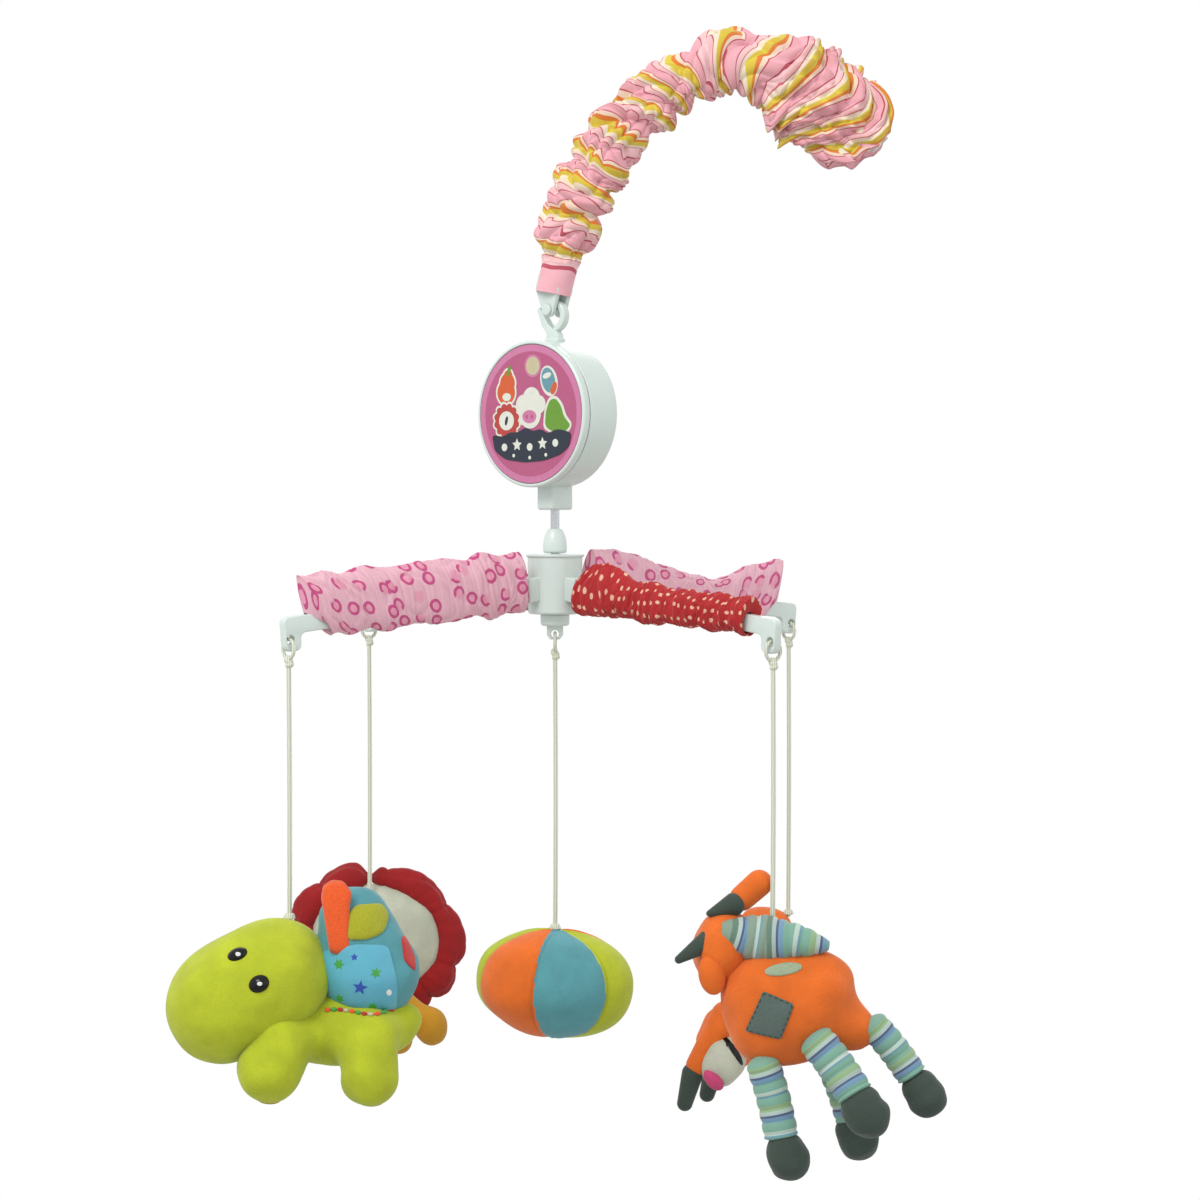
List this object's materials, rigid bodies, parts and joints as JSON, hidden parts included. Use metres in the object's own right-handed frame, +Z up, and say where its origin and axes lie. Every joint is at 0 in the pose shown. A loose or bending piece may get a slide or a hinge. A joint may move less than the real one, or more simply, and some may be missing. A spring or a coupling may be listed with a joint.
{
  "type": "crib mobile",
  "caption": "Wind-up crib mobile: a fabric-covered arm holds a round music box that turns a cross of sleeved arms, with soft animal toys and a ball on cords.",
  "frame": {"origin": "centre of the flat end face of the plug at the arm's far end, which a crib post's socket takes", "axes": "+Z up with the mobile hanging; the arm reaches along -X from the crib post; -Y is the front, from which the music box's label is seen"},
  "size_m": [0.3941, 0.3439, 0.6051],
  "materials": {
    "white_plastic": "smooth moulded white plastic with a soft gloss",
    "steel": "bright steel",
    "brass": "turned brass",
    "label": null,
    "striped_cotton": "ruched cotton with pink, white, yellow and orange stripes",
    "pink_cotton": "gathered pink cotton printed with magenta rings",
    "red_cotton": "gathered red cotton printed with white dots",
    "cord": "pale braided cord",
    "lime_plush": "short-pile lime velour",
    "teal_plush": "short-pile teal velour, with panels and patches in other colours",
    "orange_plush": "short-pile orange velour",
    "cream_plush": "short-pile off-white velour",
    "red_plush": "dark red ruffled velour",
    "mustard_plush": "short-pile mustard velour",
    "mint_knit": "mint, blue and white striped knit"
  },
  "bodies": {
    "crib_arm": {"arm_tube": "white_plastic", "arm_plug": "white_plastic", "arm_sleeve": "striped_cotton", "arm_clevis": "white_plastic", "clevis_pin": "white_plastic"},
    "music_box": {"case_front": "white_plastic", "case_back": "white_plastic", "label_disc": "label", "box_hook": "white_plastic", "outlet_boss": "white_plastic", "case_screw_1": "steel", "case_screw_2": "steel", "case_screw_3": "steel", "movement_plate": "brass", "tone_comb": "steel"},
    "winding_key": {"winding_arbor": "steel", "winding_knob": "white_plastic"},
    "spring_barrel": {"spring_barrel": "brass", "mainspring": "steel"},
    "pinned_cylinder": {"pinned_cylinder": "brass"},
    "air_governor": {"air_governor": "steel"},
    "carousel": {"output_shaft": "steel", "hub_dome": "white_plastic", "hub": "white_plastic", "hub_eyelet": "white_plastic", "carousel_arm_front_left": "white_plastic", "carousel_arm_front_right": "white_plastic", "carousel_arm_rear_right": "white_plastic", "carousel_arm_rear_left": "white_plastic", "arm_sleeve_front_left": "pink_cotton", "arm_sleeve_front_right": "red_cotton", "arm_sleeve_rear_right": "pink_cotton", "arm_sleeve_rear_left": "red_cotton"},
    "turtle_loop": {"turtle_loop": "cord"},
    "turtle_cord": {"turtle_cord": "cord"},
    "turtle": {"turtle_head": "lime_plush", "turtle_body": "lime_plush", "turtle_shell": "teal_plush"},
    "cow_loop": {"cow_loop": "cord"},
    "cow_cord": {"cow_cord": "cord"},
    "cow": {"cow_head": "orange_plush", "cow_body": "orange_plush", "cow_mane": "mint_knit"},
    "calf_loop": {"calf_loop": "cord"},
    "calf_cord": {"calf_cord": "cord"},
    "calf": {"calf_head": "cream_plush", "calf_body": "orange_plush"},
    "lion_loop": {"lion_loop": "cord"},
    "lion_cord": {"lion_cord": "cord"},
    "lion": {"lion_face": "cream_plush", "lion_mane": "red_plush", "lion_body": "mustard_plush"},
    "ball_loop": {"ball_loop": "cord"},
    "ball_cord": {"ball_cord": "cord"},
    "ball": {"ball": "teal_plush"}
  },
  "joints": [
    {"name": "box_swing", "type": "hinge", "parent": "crib_arm", "child": "music_box", "pos_m": [-0.17837, 0, -0.0899], "axis": [0.6691, 0.7431, 0], "range_deg": [-15, 15]},
    {"name": "winding_turn", "type": "hinge", "parent": "music_box", "child": "winding_key", "pos_m": [-0.17837, 0, -0.1391], "axis": [0.6691, 0.7431, 0], "continuous": true},
    {"name": "carousel_spin", "type": "hinge", "parent": "music_box", "child": "carousel", "pos_m": [-0.17837, 0, -0.1961], "axis": [0, 0, 1], "continuous": true},
    {"name": "barrel_turn", "type": "hinge", "parent": "music_box", "child": "spring_barrel", "pos_m": [-0.17837, 0, -0.1391], "axis": [0.6691, 0.7431, 0], "continuous": true},
    {"name": "cylinder_turn", "type": "hinge", "parent": "music_box", "child": "pinned_cylinder", "pos_m": [-0.16386, -0.01307, -0.15038], "axis": [0.6691, 0.7431, 0], "continuous": true},
    {"name": "governor_spin", "type": "hinge", "parent": "music_box", "child": "air_governor", "pos_m": [-0.16537, -0.01171, -0.1619], "axis": [0.6691, 0.7431, 0], "continuous": true},
    {"name": "turtle_swing", "type": "hinge", "parent": "carousel", "child": "turtle_loop", "pos_m": [-0.31378, -0.11242, -0.2661], "axis": [0.6388, -0.7694, 0], "range_deg": [-10, 10]},
    {"name": "turtle_sway", "type": "hinge", "parent": "turtle_loop", "child": "turtle_cord", "pos_m": [-0.31378, -0.11242, -0.2756], "axis": [-0.7694, -0.6388, 0], "range_deg": [-10, 10]},
    {"name": "turtle_twist", "type": "hinge", "parent": "turtle_cord", "child": "turtle", "pos_m": [-0.31378, -0.11242, -0.3461], "axis": [0, 0, 1], "continuous": true},
    {"name": "cow_swing", "type": "hinge", "parent": "carousel", "child": "cow_loop", "pos_m": [-0.06595, -0.13541, -0.2661], "axis": [0.7694, 0.6388, 0], "range_deg": [-10, 10]},
    {"name": "cow_sway", "type": "hinge", "parent": "cow_loop", "child": "cow_cord", "pos_m": [-0.06595, -0.13541, -0.2756], "axis": [0.6388, -0.7694, 0], "range_deg": [-10, 10]},
    {"name": "cow_twist", "type": "hinge", "parent": "cow_cord", "child": "cow", "pos_m": [-0.06595, -0.13541, -0.3461], "axis": [0, 0, 1], "continuous": true},
    {"name": "calf_swing", "type": "hinge", "parent": "carousel", "child": "calf_loop", "pos_m": [-0.04295, 0.11242, -0.2661], "axis": [-0.6388, 0.7694, 0], "range_deg": [-10, 10]},
    {"name": "calf_sway", "type": "hinge", "parent": "calf_loop", "child": "calf_cord", "pos_m": [-0.04295, 0.11242, -0.2756], "axis": [0.7694, 0.6388, 0], "range_deg": [-10, 10]},
    {"name": "calf_twist", "type": "hinge", "parent": "calf_cord", "child": "calf", "pos_m": [-0.04295, 0.11242, -0.3461], "axis": [0, 0, 1], "continuous": true},
    {"name": "lion_swing", "type": "hinge", "parent": "carousel", "child": "lion_loop", "pos_m": [-0.29079, 0.13541, -0.2661], "axis": [-0.7694, -0.6388, 0], "range_deg": [-10, 10]},
    {"name": "lion_sway", "type": "hinge", "parent": "lion_loop", "child": "lion_cord", "pos_m": [-0.29079, 0.13541, -0.2756], "axis": [-0.6388, 0.7694, 0], "range_deg": [-10, 10]},
    {"name": "lion_twist", "type": "hinge", "parent": "lion_cord", "child": "lion", "pos_m": [-0.29079, 0.13541, -0.3461], "axis": [0, 0, 1], "continuous": true},
    {"name": "ball_swing", "type": "hinge", "parent": "carousel", "child": "ball_loop", "pos_m": [-0.17837, 0, -0.2676], "axis": [0, 1, 0], "range_deg": [-5, 5]},
    {"name": "ball_sway", "type": "hinge", "parent": "ball_loop", "child": "ball_cord", "pos_m": [-0.17837, 0, -0.2771], "axis": [1, 0, 0], "range_deg": [-5, 5]},
    {"name": "ball_twist", "type": "hinge", "parent": "ball_cord", "child": "ball", "pos_m": [-0.17837, 0, -0.3461], "axis": [0, 0, 1], "continuous": true}
  ],
  "couplings": [
    {"joint": "barrel_turn", "follows": "carousel_spin", "ratio": -0.30769},
    {"joint": "cylinder_turn", "follows": "carousel_spin", "ratio": 1.094},
    {"joint": "governor_spin", "follows": "carousel_spin", "ratio": -3.6467}
  ]
}
